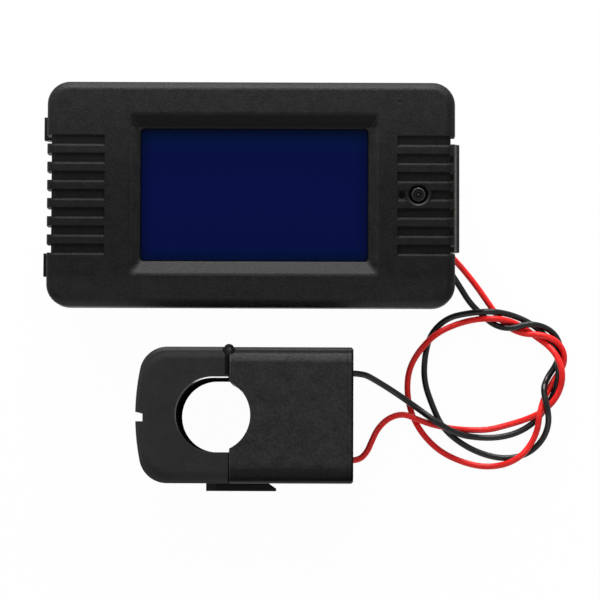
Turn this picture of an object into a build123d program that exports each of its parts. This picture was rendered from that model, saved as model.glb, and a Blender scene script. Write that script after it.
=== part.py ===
from build123d import *
import math
import os

os.makedirs("parts", exist_ok=True)

# All sizes are millimetres. X runs along the meter, Y across it, Z out of the display.
# The origin is the centre of the meter's rear face, on the surface that both units lie on.

# Display module, outside
case_length = 84.4
case_width = 44.4
bezel_lip = 2.6
bezel_length = case_length + 2 * bezel_lip
bezel_width = case_width + 2 * bezel_lip
bezel_thickness = 6.0
module_depth = 24.4
bezel_corner_radius = 5.0
bezel_edge_radius = 1.5
face_plate = 2.4
case_corner_radius = 3.0
case_wall = 1.8
case_floor = 1.8
lap_height = 2.0
lap_clearance = 0.1
panel_z = module_depth - bezel_thickness
plate_z = module_depth - face_plate
rim_z = panel_z + lap_height

# Display window, a little off centre
window_length = 50.0
window_width = 29.2
window_bevel_x = 2.2
window_bevel_y = 3.0
window_offset = 0.7
window_lip = 0.8

# Finger ribs at the two short ends
groove_count = 7
groove_pitch = 4.0
groove_width = 1.9
groove_depth = 1.1
groove_slope = 0.5
groove_start = bezel_length / 2 - 12.7
end_notch_depth = 1.0

# Push-button on the right, in the middle groove
button_x = bezel_length / 2 - 8.1
button_radius = 1.55
button_hole_radius = 2.05
button_land_radius = 2.85
button_sink = 0.15
button_travel = 0.3
button_collar_radius = 2.5
switch_length = 6.0
switch_width = 3.5
switch_height = 3.4
plunger_radius = 1.1

# Display stack and main board
board_thickness = 1.6
backlight_thickness = 3.2
glass_thickness = 2.0
polariser_thickness = 0.2
display_margin = 2.2
board_right = case_length / 2 - 3.8
board_left = 3.2 - case_length / 2
board_width = case_width - 2 * case_wall - 2.8
boss_x = case_length / 2 - 7.2
boss_y = board_width / 2 - 2.8
boss_radius = 2.3
glass_z = plate_z - polariser_thickness - glass_thickness
board_top_z = glass_z - backlight_thickness
board_z = board_top_z - board_thickness
transformer_length = 16.0
transformer_width = 8.0
transformer_height = 9.6

# Terminal bay, open to the rear and to the right-hand end
bay_x = case_length / 2 - 22.7
bay_height = 11.4
bay_roof = 1.5
terminal_pitch = 7.62
terminal_ways = 4
terminal_length = 10.0
terminal_rear_z = 1.0
cell_width = 5.4
entry_width = 4.0
thread_pitch = 0.45
clamp_travel = 1.35
screw_radius = 1.25
screw_head_radius = 1.95
running_clearance = 0.05
wire_z = 7.45
copper_radius = 0.4

# Spring clip on the right-hand end and fixed hooks on the left-hand end
clip_head_width = 24.0
clip_stem_width = 12.0
clip_thickness = 1.1
clip_inner_x = case_length / 2 + 0.8
clip_tip_x = case_length / 2 + 4.0
clip_recess_x = case_length / 2 - 2.2
foot_height = 1.6
hook_width = 5.1
hook_y = case_width / 2 - 7.05
hook_tip_x = case_length / 2 + 3.9

# Split-core current sensor, in its own frame: origin at the cable window's centre
sensor_x = case_length / 2 - 50.0
sensor_y = -bezel_width / 2 - 23.7
sensor_depth = 33.0
sensor_half_width = 14.7
cable_radius = 8.0
split_x = 3.4
split_gap = 0.2
jaw_reach = 16.75
jaw_corner_radius = 6.0
jaw_end_bulge = 2.2
body_end_x = 30.2
end_cover_thickness = 1.2
shell_wall = 1.4
shell_edge_radius = 2.0
jaw_edge_chamfer = 0.8
hinge_inset = 0.55
knuckle_radius = 1.15
knuckle_clearance = 0.15
knuckle_length = 2.25
barrel_radius = 0.7
pin_radius = 0.5
core_low_z = 5.0
core_high_z = sensor_depth - core_low_z
core_leg = 3.4
pole_gap = 0.1
core_spring_length = 13.0
core_spring_width = 9.0
bobbin_window_gap = 3.4
bobbin_wall_gap = 2.2
yoke_length = 5.0
core_end_x = body_end_x - 7.8
jaw_core_x = 3.15 - jaw_reach

# Latch across the split, on the side away from the hinge
latch_left_x = -1.7
latch_tip_x = 13.5
latch_pivot_x = 1.2
latch_standoff = 0.1
latch_thickness = 1.65
latch_width = 14.0
latch_low_z = (sensor_depth - latch_width) / 2
latch_high_z = latch_low_z + latch_width
catch_x = 9.0
catch_length = 1.6
catch_height = 1.2

# Two limp leads from the meter's lower terminals to the sensor's end
lead_radius = 0.7
lead_sides = 5
lead_exit_z = 8.0
lead_exit_y = 9.8

parts = {}


def block(x, y, z):
    """Box between two limits on each axis."""
    centre = Pos((x[0] + x[1]) / 2, (y[0] + y[1]) / 2, (z[0] + z[1]) / 2)
    return centre * Box(x[1] - x[0], y[1] - y[0], z[1] - z[0])


def rounded_block(length, width, radius, z):
    """Upright block with rounded vertical corners, centred on the Z axis."""
    return Pos(0, 0, z[0]) * extrude(RectangleRounded(length, width, radius), z[1] - z[0])


def post(x, y, z, radius):
    """Upright cylinder between two heights."""
    return Pos(x, y, (z[0] + z[1]) / 2) * Cylinder(radius, z[1] - z[0])


def peg(x, y, z, radius, sides=8):
    """Upright post with flat sides whose inscribed circle has the radius, for small hidden forms."""
    outline = RegularPolygon(radius, sides, major_radius=False)
    return Pos(x, y, z[0]) * extrude(outline, z[1] - z[0])


def prism_y(points, y):
    """Profile drawn in X and Z, pushed out along Y between two limits."""
    outline = make_face(Polyline(*[(px, y[0], pz) for px, pz in points], close=True))
    return extrude(outline, y[1] - y[0], dir=(0, 1, 0))


def span(centre, width):
    """Limits of a width about its centre."""
    return (centre - width / 2, centre + width / 2)


def boss_places():
    """Centres of the four screw bosses that carry the main board."""
    return [(sx * boss_x, sy * boss_y) for sx in (-1, 1) for sy in (-1, 1)]


def way_places():
    """Y centre of each terminal way, lowest first."""
    return [(way - (terminal_ways - 1) / 2) * terminal_pitch for way in range(terminal_ways)]


# Front cover: bezel, ribbed ends, bevelled window and the rim that laps over the rear case

def make_front_cover():
    cover = rounded_block(bezel_length, bezel_width, bezel_corner_radius, (panel_z, module_depth))
    cover = fillet(cover.edges().group_by(Axis.Z)[-1], bezel_edge_radius)
    rim = 2 * lap_clearance
    cavity_radius = case_corner_radius + lap_clearance
    cover -= rounded_block(case_length + rim, case_width + rim, cavity_radius, (panel_z, plate_z))

    inner = RectangleRounded(window_length, window_width, 0.8)
    eased = RectangleRounded(window_length + 2 * window_bevel_x + window_lip,
                             window_width + 2 * window_bevel_y + window_lip, 1.4)
    lip_z = module_depth - window_lip / 4
    shrink = 1 - window_lip / 4 / face_plate
    low = RectangleRounded(window_length + 2 * window_bevel_x * shrink,
                           window_width + 2 * window_bevel_y * shrink, 1.2)
    place = Pos(window_offset, 0, 0)
    cover -= loft([place * Pos(0, 0, plate_z) * inner, place * Pos(0, 0, lip_z) * low], ruled=True)
    cover -= loft([place * Pos(0, 0, lip_z) * low, place * Pos(0, 0, module_depth) * eased], ruled=True)

    rows = [(row - (groove_count - 1) / 2) * groove_pitch for row in range(groove_count)]
    land = post(button_x, 0, (panel_z, module_depth), button_land_radius)
    for side in (-1, 1):
        for row in rows:
            ends = sorted((side * groove_start, side * bezel_length))
            groove = make_groove(ends, row)
            notch_ends = sorted((side * (bezel_length / 2 - end_notch_depth), side * bezel_length))
            notch = block(notch_ends, span(row, groove_width), (panel_z - 1, module_depth + 1))
            if side > 0 and row == 0:
                groove -= land
            cover -= groove + notch
    cover -= post(button_x, 0, (panel_z, module_depth + 1), button_hole_radius)
    cover -= Pos(button_x, 0, module_depth - 0.15) * Cone(button_hole_radius, button_hole_radius + 0.3, 0.3)
    cover -= peg(groove_start + 0.5, 20.5, (module_depth - 0.15, module_depth + 1), 0.35)

    rib_length, rib_width = case_length - 2 * case_wall - 0.4, case_width - 2 * case_wall - 0.4
    rib = block(span(0, rib_length), span(0, rib_width), (plate_z - 2.4, plate_z))
    cover += rib - block(span(0, rib_length - 1.4), span(0, rib_width - 1.4), (plate_z - 3, plate_z))
    for x, y in boss_places():
        cover += peg(x, y, (board_top_z, plate_z), boss_radius)
        cover -= peg(x, y, (board_top_z - 1, plate_z - 0.6), 0.85)
    for x, y, side in snap_places():
        recess_y = sorted((side * (case_width / 2 + lap_clearance), side * (case_width / 2 + 0.65)))
        cover -= block(span(x, 8.2), recess_y, (rim_z - 1.6, rim_z - 0.4))
    return cover


def make_groove(ends, row):
    """Finger groove with a steep upper wall and a sloping lip on its lower side."""
    high, low = row + groove_width / 2, row - groove_width / 2
    floor_z, top_z = module_depth - groove_depth, module_depth
    section = [(high, top_z + 1), (high, floor_z), (low, floor_z), (low, top_z - groove_slope),
               (low - groove_slope, top_z), (low - groove_slope, top_z + 1)]
    outline = make_face(Polyline(*[(ends[0], y, z) for y, z in section], close=True))
    return extrude(outline, ends[1] - ends[0], dir=(1, 0, 0))


def snap_places():
    """Two snap beads on each long side of the rear case."""
    return [(x, side * case_width / 2, side) for x in (20.2 - case_length / 2, case_length / 2 - 20.2)
            for side in (-1, 1)]


# Rear case: tub with snap beads, terminal bay, hooks and the spring clip's recess and foot

def make_rear_case():
    tub = rounded_block(case_length, case_width, case_corner_radius, (0, rim_z))
    tub = chamfer(tub.edges().group_by(Axis.Z)[0], 0.6)
    inner_length = case_length - 2 * case_wall
    inner_width = case_width - 2 * case_wall
    tub -= block(span(0, inner_length), span(0, inner_width), (case_floor, rim_z + 1))
    half = inner_width / 2
    right = case_length / 2

    tub += block((bay_x - case_wall, right - 2.0), (-half, half), (0, bay_height + bay_roof))
    recess_y = clip_head_width / 2 + 0.6
    tub += block((clip_recess_x - 1.4, right - 1.0), (-recess_y - 1.4, recess_y + 1.4),
                 (bay_height, panel_z + 1.0))
    tub -= block((bay_x, right + 1), (-half, half), (-1, bay_height))
    tub -= block((clip_recess_x, right + 1), (-recess_y, recess_y), (bay_height - 1, panel_z))

    stem = clip_stem_width / 2
    tub += block((clip_recess_x - 1.4, clip_recess_x), (-stem, stem), (0, bay_height))
    tub += block((clip_recess_x - 0.2, clip_inner_x + clip_thickness), (-stem, stem), (0, foot_height))

    hook = [(-right + 0.5, 8.0), (-right, 8.0), (-hook_tip_x, 14.4), (-hook_tip_x, 16.2), (-right + 0.5, 16.2)]
    for y in (-hook_y, hook_y):
        tub += prism_y(hook, span(y, hook_width))
    for x, y, side in snap_places():
        bead = sorted((y - side * 0.2, y + side * 0.4))
        tub += block(span(x, 7.6), bead, (rim_z - 1.4, rim_z - 0.6))
    for y in way_places():
        tub -= block((bay_x + 1.4, bay_x + 2.0), span(y, 1.2), (bay_height - 1, bay_height + bay_roof + 1))
    return tub


def make_panel_clip():
    """Cantilever of the spring clip: narrow stem, wide head with a ramp and three gripping steps."""
    root_z = foot_height + running_clearance + clip_thickness / 2
    inner = clip_inner_x
    outer = clip_inner_x + clip_thickness
    ramp_z = panel_z - 9.1
    crest_z = panel_z - 4.1
    profile = [(inner, root_z), (outer, root_z), (outer, ramp_z), (clip_tip_x, crest_z),
               (clip_tip_x, crest_z + 0.6), (clip_tip_x - 0.5, crest_z + 0.6),
               (clip_tip_x - 0.5, crest_z + 1.3), (clip_tip_x - 1.0, crest_z + 1.3),
               (clip_tip_x - 1.0, crest_z + 2.0), (inner + 0.3, crest_z + 2.0), (inner, crest_z + 1.4)]
    head = clip_head_width / 2
    stem = clip_stem_width / 2
    clip = prism_y(profile, (-head, head))
    for side in (-1, 1):
        cut = sorted((side * stem, side * (head + 1)))
        clip -= block((inner - 1, clip_tip_x + 1), cut, (0, ramp_z - 0.7))
    root = Pos(inner + clip_thickness / 2, 0, root_z) * Rot(90, 0, 0) * Cylinder(clip_thickness / 2, 2 * stem)
    return clip + root


# Display, board and what they carry

def display_size():
    return window_length + 2 * display_margin, window_width + 2 * display_margin


def make_display():
    length, width = display_size()
    x = window_offset
    glass = block(span(x, length), span(0, width), (glass_z, glass_z + glass_thickness))
    film = block(span(x, length - 1.0), span(0, width - 1.0), (glass_z + glass_thickness, plate_z))
    guide = block(span(x, length - 0.8), span(0, width - 3.0), (board_top_z, glass_z))
    for notch in (-15.0, 0.0, 15.0):
        guide -= block(span(x + notch, 4.0), (-width, -width / 2 + 2.3), (board_top_z, glass_z + 1))
    return glass, film, guide


def pin_places():
    """Contact pins along the upper edge of the display glass."""
    return [window_offset + (pin - 8.5) * 2.54 for pin in range(18)]


def pin_row_y():
    return display_size()[1] / 2 - 0.7


def make_display_pins():
    pins = [block(span(x, 0.4), span(pin_row_y(), 0.3), (board_z - 0.8, glass_z)) for x in pin_places()]
    return Compound(children=pins)


def make_board():
    board = block((board_left, board_right), span(0, board_width), (board_z, board_top_z))
    for px, py in boss_places():
        board -= peg(px, py, (board_z - 1, board_top_z + 1), 1.1)
    for px in pin_places():
        board -= block(span(px, 0.4), span(pin_row_y(), 0.3), (board_z - 1, board_top_z + 1))
    for y in way_places():
        board -= block((bay_x + 1.4, bay_x + 2.0), span(y, 1.2), (board_z - 1, board_top_z + 1))
    return board


def make_board_screws():
    """Four hexagon-head screws that hold the board to the cover's bosses."""
    screws = []
    for x, y in boss_places():
        head = peg(x, y, (board_z - 1.3, board_z), 1.7, 6)
        screws.append(head + peg(x, y, (board_z, board_top_z + 3.4), 0.75))
    return Compound(children=screws)


def make_button():
    collar_top = plate_z - 0.25
    cap = post(button_x, 0, (collar_top - 0.9, module_depth - button_sink), button_radius)
    cap = chamfer(cap.edges().group_by(Axis.Z)[-1], 0.25)
    cap += peg(button_x, 0, (collar_top - 0.9, collar_top), button_collar_radius, 12)
    cap -= Pos(button_x, 0, module_depth - button_sink - 0.125) * Cone(0.35, 1.15, 0.25)
    return cap


def switch_top():
    return board_top_z + switch_height


def make_switch():
    x = span(button_x, switch_width)
    body = block(x, span(0, switch_length), (board_top_z, switch_top()))
    body -= peg(button_x, 0, (switch_top() - 1.4, switch_top() + 1), plunger_radius + running_clearance)
    for side in (-1, 1):
        leg_y = sorted((side * (switch_length / 2 - 0.3), side * (switch_length / 2 + 0.6)))
        body += block(span(button_x, 0.7), leg_y, (board_top_z, board_top_z + 0.4))
    return body


def make_plunger():
    return peg(button_x, 0, (switch_top() - 1.4 + button_travel + 0.1, plate_z - 0.25 - 0.9), plunger_radius)


def along(share):
    """X at a share of the board's length from its left-hand end."""
    return board_left + share * (board_right - board_left)


def across(share):
    """Y at a share of the board's half-width from its middle."""
    return share * board_width / 2


def make_transformer():
    """Laminated core with two windows, the coil round its middle limb, and the tray under the board."""
    x = along(0.194)
    top = board_z - 0.8
    low = top - transformer_height
    limb = transformer_height / 4
    opening = transformer_length * 0.175
    core = block(span(x, transformer_length), span(0, transformer_width), (low, top))
    for side in (-1, 1):
        opening_x = x + side * (transformer_length / 2 - limb - opening / 2)
        core -= block(span(opening_x, opening), span(0, transformer_width + 2), (low + limb, top - limb))
    coil = block(span(x, transformer_length * 0.54), span(0, transformer_width + 5.0),
                 (low + limb + 0.2, top - limb - 0.2))
    coil = chamfer(coil.edges().filter_by(Axis.Z), 1.2)
    tray = block(span(x, transformer_length - 2.0), span(0, transformer_width + 6.0), (top, board_z))
    neck = block(span(x, 2.4), span(0, transformer_width + 4.0), (top - limb - 0.2, top))
    return core + coil + tray + neck


def make_capacitor(x, y, radius, height):
    can = peg(x, y, (board_z - height, board_z), radius, 16)
    return chamfer(can.edges().group_by(Axis.Z)[0], 0.5)


def make_varistor():
    disc_x = along(0.065)
    disc_y = across(-0.653)
    outline = Plane((disc_x, disc_y - 1.6, board_z - 5.6), z_dir=(0, 1, 0)) * RegularPolygon(4.6, 16)
    disc = extrude(outline, 3.2)
    sides = disc.edges().group_by(Axis.Y)
    disc = chamfer(sides[0] + sides[-1], 0.6)
    for x in (disc_x - 2.5, disc_x + 2.5):
        disc += block(span(x, 0.7), span(disc_y, 0.7), (board_z - 3.2, board_z))
    return disc


def make_chip(x, y, length, width, height, legs):
    """Gull-wing chip on the board's underside."""
    body = block(span(x, length), span(y, width), (board_z - height, board_z - 0.1))
    pitch = length / (legs + 0.5)
    for leg in range(legs):
        lx = x + (leg - (legs - 1) / 2) * pitch
        body += block(span(lx, 0.45), span(y, width + 2.0), (board_z - 0.25, board_z))
    return body


# Terminal block with rising clamps

def cell_x():
    return (bay_x + 1.3, bay_x + 1.3 + terminal_length - 2.4)


def screw_x():
    return sum(cell_x()) / 2


def make_terminal_block():
    x = (bay_x + 0.1, bay_x + 0.1 + terminal_length)
    half = terminal_ways * terminal_pitch / 2
    body = block(x, (-half, half), (terminal_rear_z, bay_height))
    body = chamfer(body.edges().filter_by(Axis.Y).group_by(Axis.Z)[0], 0.5)
    for y in way_places():
        body -= block(cell_x(), span(y, cell_width), (3.4, bay_height - 1.0))
        entry = block((cell_x()[1] - 0.5, x[1] + 1), span(y, entry_width), (5.2, 9.8))
        body -= chamfer(entry.edges().filter_by(Axis.X), 0.6)
        body -= peg(screw_x(), y, (1.6, 3.5), screw_head_radius + 2 * running_clearance)
        body -= peg(screw_x(), y, (0, 2.0), 1.6)
        body -= block((bay_x + 1.4, bay_x + 2.0), span(y, 1.2), (bay_height - 2, bay_height + 1))
    for y in [way * terminal_pitch for way in (-1, 0, 1)]:
        body -= block((x[1] - 0.8, x[1] + 1), span(y, 0.8), (terminal_rear_z - 1, bay_height + 1))
    return body


def make_terminal_contacts():
    bars = []
    for y in way_places():
        bar = block((bay_x + 1.4, bay_x + 8.3), span(y, 3.0), (6.3, 7.0))
        bar += block((bay_x + 1.4, bay_x + 2.0), span(y, 1.2), (7.0, board_top_z - 0.2))
        bars.append(bar)
    return Compound(children=bars)


def make_clamp(y):
    """Rectangular clamp ring; the wire lies between the contact bar and the ring's far wall."""
    x = span(screw_x(), 5.8)
    far_z = wire_z + copper_radius + running_clearance
    ring = block(x, span(y, cell_width - 0.3), (3.6, far_z + 0.8))
    ring -= block((x[0] - 1, x[1] + 1), span(y, cell_width - 1.9), (4.6, far_z))
    ring -= peg(screw_x(), y, (3, 5), screw_radius + running_clearance)
    return ring


def make_terminal_screw(y):
    screw = post(screw_x(), y, (1.7, 3.2), screw_head_radius)
    screw += peg(screw_x(), y, (3.2, 6.2), screw_radius * 0.92)
    screw -= block(span(screw_x(), 5.0), span(y, 0.6), (1.0, 2.5))
    return screw


def make_wire_ends():
    ends = []
    for y in way_places()[:2]:
        outline = Plane((bay_x + 3.0, y, wire_z), z_dir=(1, 0, 0)) * RegularPolygon(copper_radius, 8)
        ends.append(extrude(outline, lead_start_x() - bay_x - 3.0))
    return Compound(children=ends)


def lead_start_x():
    return cell_x()[1] - 0.2


# Current sensor, drawn about its cable window and moved to its place at the end

hinge_y = sensor_half_width - hinge_inset
inner_half = sensor_half_width - shell_wall
core_half = inner_half - 0.5
leg_low_y = core_half - core_leg


def knuckle_bands():
    """Heights of the fixed half's and the jaw's knuckles, above and below the core."""
    fixed = [(0, knuckle_length), (sensor_depth - knuckle_length, sensor_depth)]
    low = (knuckle_length + 0.1, 2 * knuckle_length + 0.1)
    return fixed, [low, (sensor_depth - low[1], sensor_depth - low[0])]


def widened(band, gap):
    return (band[0] - gap, band[1] + gap)


def hinge_relief(z):
    """Room outside the hinge axis for the jaw's wall to turn in."""
    relief = post(split_x, hinge_y, z, barrel_radius + knuckle_clearance)
    return relief & block((0, 2 * split_x), (core_half + 0.05, sensor_half_width + 1), z)


def sensor_profile(x):
    """Body section of the fixed half: a block with its four long edges rounded."""
    body = block(x, (-sensor_half_width, sensor_half_width), (0, sensor_depth))
    return fillet(body.edges().filter_by(Axis.X), shell_edge_radius)


def make_sensor_shell():
    face_x = split_x + split_gap / 2
    back_x = body_end_x - end_cover_thickness
    shell = sensor_profile((face_x, back_x))
    fixed, moving = knuckle_bands()
    for band in moving:
        shell -= post(split_x, hinge_y, widened(band, 0.1), knuckle_radius + knuckle_clearance)
    for band in fixed:
        shell += post(split_x, hinge_y, band, knuckle_radius)
    shell -= hinge_relief((moving[0][1] + 0.1, moving[1][0] - 0.1))
    shell -= post(0, 0, (-1, sensor_depth + 1), cable_radius)
    room_x = cable_radius + 1.6
    shell -= block((room_x, back_x), (-inner_half, inner_half), (1.6, sensor_depth - 1.6))
    for side in (-1, 1):
        slot = sorted((side * leg_low_y, side * (core_half + 0.05)))
        shell -= block((face_x, room_x + 1), slot, (core_low_z, core_high_z))
    catch_y = -sensor_half_width
    catch = make_face(Polyline((catch_x, catch_y + 0.5), (catch_x, catch_y),
                               (catch_x + catch_length - 0.5, catch_y - catch_height),
                               (catch_x + catch_length, catch_y - catch_height),
                               (catch_x + catch_length, catch_y + 0.5), close=True))
    catch_z = (latch_low_z + 2.5, latch_high_z - 2.5)
    shell += Pos(0, 0, catch_z[0]) * extrude(catch, catch_z[1] - catch_z[0])
    shell -= post(split_x, hinge_y, (-1, sensor_depth + 1), pin_radius)
    return shell


def make_end_cover():
    back_x = body_end_x - end_cover_thickness
    cover = sensor_profile((back_x, body_end_x))
    cover = chamfer(cover.edges().group_by(Axis.X)[-1], 0.4)
    for side in (-1, 1):
        tongue = sorted((side * (inner_half - 1.2), side * (inner_half - running_clearance)))
        cover += block((back_x - 1.2, back_x), tongue, (6.0, sensor_depth - 6.0))
        hole = Plane((back_x - 2, side * lead_exit_y, lead_exit_z), z_dir=(1, 0, 0))
        cover -= extrude(hole * RegularPolygon(lead_radius + running_clearance, 8, major_radius=False), 4)
    return cover


def jaw_outline(end_x):
    """Jaw seen along the window's axis: straight sides, bowed end, rounded corners."""
    corner_x = -jaw_reach + jaw_end_bulge
    top = Line((end_x, sensor_half_width), (corner_x, sensor_half_width))
    bow = ThreePointArc((corner_x, sensor_half_width), (-jaw_reach, 0), (corner_x, -sensor_half_width))
    bottom = Line((corner_x, -sensor_half_width), (end_x, -sensor_half_width))
    back = Line((end_x, -sensor_half_width), (end_x, sensor_half_width))
    face = make_face([top, bow, bottom, back])
    corners = face.vertices().sort_by(Axis.X)[:2]
    return fillet(corners, jaw_corner_radius)


def jaw_core_outline(grow, left_x, end_x):
    """Core half in the jaw, grown by a clearance for its pocket."""
    side = core_half + grow / 2
    slant = jaw_core_x + 4.6
    return make_face(Polyline((end_x, side), (slant, side), (left_x, 8.0 + grow), (left_x, -8.0 - grow),
                              (slant, -side), (end_x, -side), close=True))


def window_slot(radius, end_x, z):
    """Round hole that runs out straight to one side."""
    return post(0, 0, z, radius) + block((0, end_x), (-radius, radius), z)


def make_jaw_shell():
    face_x = split_x - split_gap / 2
    jaw = extrude(jaw_outline(face_x), sensor_depth)
    rims = jaw.edges().filter_by(GeomType.LINE).group_by(Axis.Z)
    outer = [edge for edge in rims[0] + rims[-1] if edge.center().X < face_x - 0.1]
    outer += [edge for edge in jaw.edges().filter_by(GeomType.CIRCLE)]
    jaw = chamfer(outer, jaw_edge_chamfer)
    fixed, moving = knuckle_bands()
    for band in fixed:
        jaw -= post(split_x, hinge_y, widened(band, 0.1), knuckle_radius + knuckle_clearance)
    for band in moving:
        jaw += post(split_x, hinge_y, band, knuckle_radius)
    barrel_z = (moving[0][1], moving[1][0])
    wedge = make_face(Polyline((0, 0), (5, 5), (-1, 5), (-1, 0), close=True))
    wedge = Pos(split_x, hinge_y, barrel_z[0]) * extrude(wedge, barrel_z[1] - barrel_z[0])
    jaw += post(split_x, hinge_y, barrel_z, barrel_radius) & wedge
    jaw -= window_slot(cable_radius, split_x + 1, (-1, sensor_depth + 1))
    pocket = extrude(jaw_core_outline(0.1, jaw_core_x - 1.0, face_x), core_high_z - core_low_z)
    pocket = Pos(0, 0, core_low_z) * pocket
    pocket -= window_slot(leg_low_y, split_x + 1, (0, sensor_depth))
    jaw -= pocket
    jaw -= block((-jaw_reach - 1, -jaw_reach + 1.6), (-1.4, 0.6), (-1, sensor_depth + 1))
    bottom = -sensor_half_width
    pad_low = bottom - latch_standoff - latch_thickness
    jaw += block((latch_left_x, latch_pivot_x), (pad_low, bottom + 0.5), (latch_low_z, latch_high_z))
    pivot = post(latch_pivot_x, latch_pivot_y(), (latch_low_z - 1, latch_high_z + 1),
                 latch_thickness / 2 + running_clearance)
    jaw -= pivot + block((latch_pivot_x - 0.2, latch_pivot_x + 1), (pad_low - 1, bottom - running_clearance),
                         (latch_low_z - 1, latch_high_z + 1))
    jaw -= post(split_x, hinge_y, (-1, sensor_depth + 1), pin_radius + running_clearance)
    return jaw


def make_hinge_pins():
    """Two short pins, one through each pair of knuckles."""
    fixed, moving = knuckle_bands()
    low = (fixed[0][0] + 0.3, moving[0][1] - 0.2)
    bands = [low, (sensor_depth - low[1], sensor_depth - low[0])]
    return Compound(children=[post(split_x, hinge_y, band, pin_radius) for band in bands])


def latch_pivot_y():
    return -sensor_half_width - latch_standoff - latch_thickness / 2


def make_latch():
    """Latch arm with a window over the catch and a lifting lip at its tip."""
    near = -sensor_half_width - latch_standoff
    far = near - latch_thickness
    outline = make_face(Polyline((latch_pivot_x, near), (latch_tip_x - 1.8, near), (latch_tip_x, far + 0.4),
                                 (latch_tip_x, far), (latch_pivot_x, far), close=True))
    arm = Pos(0, 0, latch_low_z) * extrude(outline, latch_high_z - latch_low_z)
    arm += post(latch_pivot_x, latch_pivot_y(), (latch_low_z, latch_high_z), latch_thickness / 2)
    arm -= block((catch_x - 0.2, catch_x + catch_length + 0.15), (far - 1, near + 1),
                 (latch_low_z + 2.3, latch_high_z - 2.3))
    return arm


def make_core_fixed():
    x = (split_x + pole_gap / 2, core_end_x)
    z = (core_low_z, core_high_z)
    outside = core_half
    inside = leg_low_y + 0.05
    core = block(x, (-outside, outside), z)
    core -= block((x[0] - 1, x[1] - yoke_length), (-inside, inside), (0, sensor_depth))
    return core


def make_core_jaw():
    core = extrude(jaw_core_outline(0, jaw_core_x, split_x - pole_gap / 2), core_high_z - core_low_z)
    core = Pos(0, 0, core_low_z) * core
    return core - window_slot(leg_low_y + 0.05, split_x + 1, (0, sensor_depth))


def make_core_spring():
    """Bowed leaf behind the jaw's core half, ends on the pocket's wall, crown on the core."""
    wall_x = jaw_core_x - 1.0
    leaf = 0.25
    reach = core_spring_length / 2
    front = ThreePointArc((wall_x + leaf, -reach), (jaw_core_x, 0), (wall_x + leaf, reach))
    back = ThreePointArc((wall_x, -reach), (jaw_core_x - leaf, 0), (wall_x, reach))
    ends = [Line((wall_x, y), (wall_x + leaf, y)) for y in (-reach, reach)]
    leaf_face = make_face([front, back] + ends)
    return Pos(0, 0, (sensor_depth - core_spring_width) / 2) * extrude(leaf_face, core_spring_width)


bobbin_half = leg_low_y
bobbin_flange = 0.9
bobbin_x = (cable_radius + bobbin_window_gap, body_end_x - end_cover_thickness - 1.4)
bobbin_z = (bobbin_wall_gap, sensor_depth - bobbin_wall_gap)


def make_bobbin():
    yoke = (core_end_x - yoke_length, core_end_x)
    tube = block((yoke[0] - 1.0, yoke[1] + 1.0), (-bobbin_half, bobbin_half),
                 (core_low_z - 1.0, core_high_z + 1.0))
    for side in (-1, 1):
        flange = sorted((side * (bobbin_half - bobbin_flange), side * bobbin_half))
        tube += block(bobbin_x, flange, bobbin_z)
    return tube - block(yoke, (-bobbin_half - 1, bobbin_half + 1), (core_low_z, core_high_z))


def make_winding():
    yoke = (core_end_x - yoke_length, core_end_x)
    room = bobbin_half - bobbin_flange
    coil = block((bobbin_x[0] + 0.8, bobbin_x[1] - 0.8), (-room, room), (bobbin_z[0] + 0.8, bobbin_z[1] - 0.8))
    coil = chamfer(coil.edges().filter_by(Axis.Y), 1.2)
    return coil - block((yoke[0] - 1.0, yoke[1] + 1.0), (-room - 1, room + 1),
                        (core_low_z - 1.0, core_high_z + 1.0))


def make_lead_board():
    back_x = body_end_x - end_cover_thickness
    return block((back_x - 1.0, back_x - 0.2), (-12.0, 12.0), (1.6, 13.0))


# Leads. Each route is a list of corner points measured from the bezel's lower right-hand corner.
# It lies on the surface and over the other lead as both fell. The two ends are added by lead_ends.

def lead_ends(way, side):
    y = way_places()[way]
    start = [(lead_start_x(), y, wire_z), (lead_start_x() + 4.6, y, wire_z)]
    board_face = body_end_x - end_cover_thickness - 0.2
    exit_y = sensor_y + side * lead_exit_y
    near_x = sensor_x + body_end_x + (1.5 if side < 0 else 2.5)
    finish = [(near_x, exit_y, lead_exit_z), (sensor_x + board_face, exit_y, lead_exit_z)]
    return start, finish


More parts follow.
